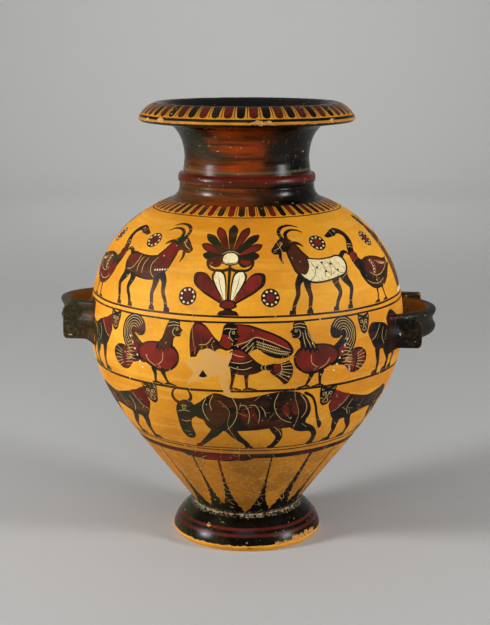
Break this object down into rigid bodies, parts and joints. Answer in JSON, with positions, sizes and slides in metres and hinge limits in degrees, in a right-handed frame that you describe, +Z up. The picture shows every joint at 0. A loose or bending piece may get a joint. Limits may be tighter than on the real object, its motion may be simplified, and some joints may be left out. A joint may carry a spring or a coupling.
{
  "type": "hydria",
  "caption": "Terracotta water jar with a wide body, narrow neck, flat spreading lip, two side handles of plates and a bowed strap, and a pouring handle at the back.",
  "frame": {"origin": "centre of the foot's resting ring, on the surface the jar stands on", "axes": "+Z up along the turning axis, +X through the right side handle, +Y towards the pouring handle at the back, so the painted front faces -Y"},
  "size_m": [0.3324, 0.276, 0.385],
  "materials": {
    "painted_terracotta": "orange clay painted in glossy black slip with added red and cream, worn and scratched"
  },
  "bodies": {
    "root": {"hydria": "painted_terracotta"}
  },
  "joints": []
}
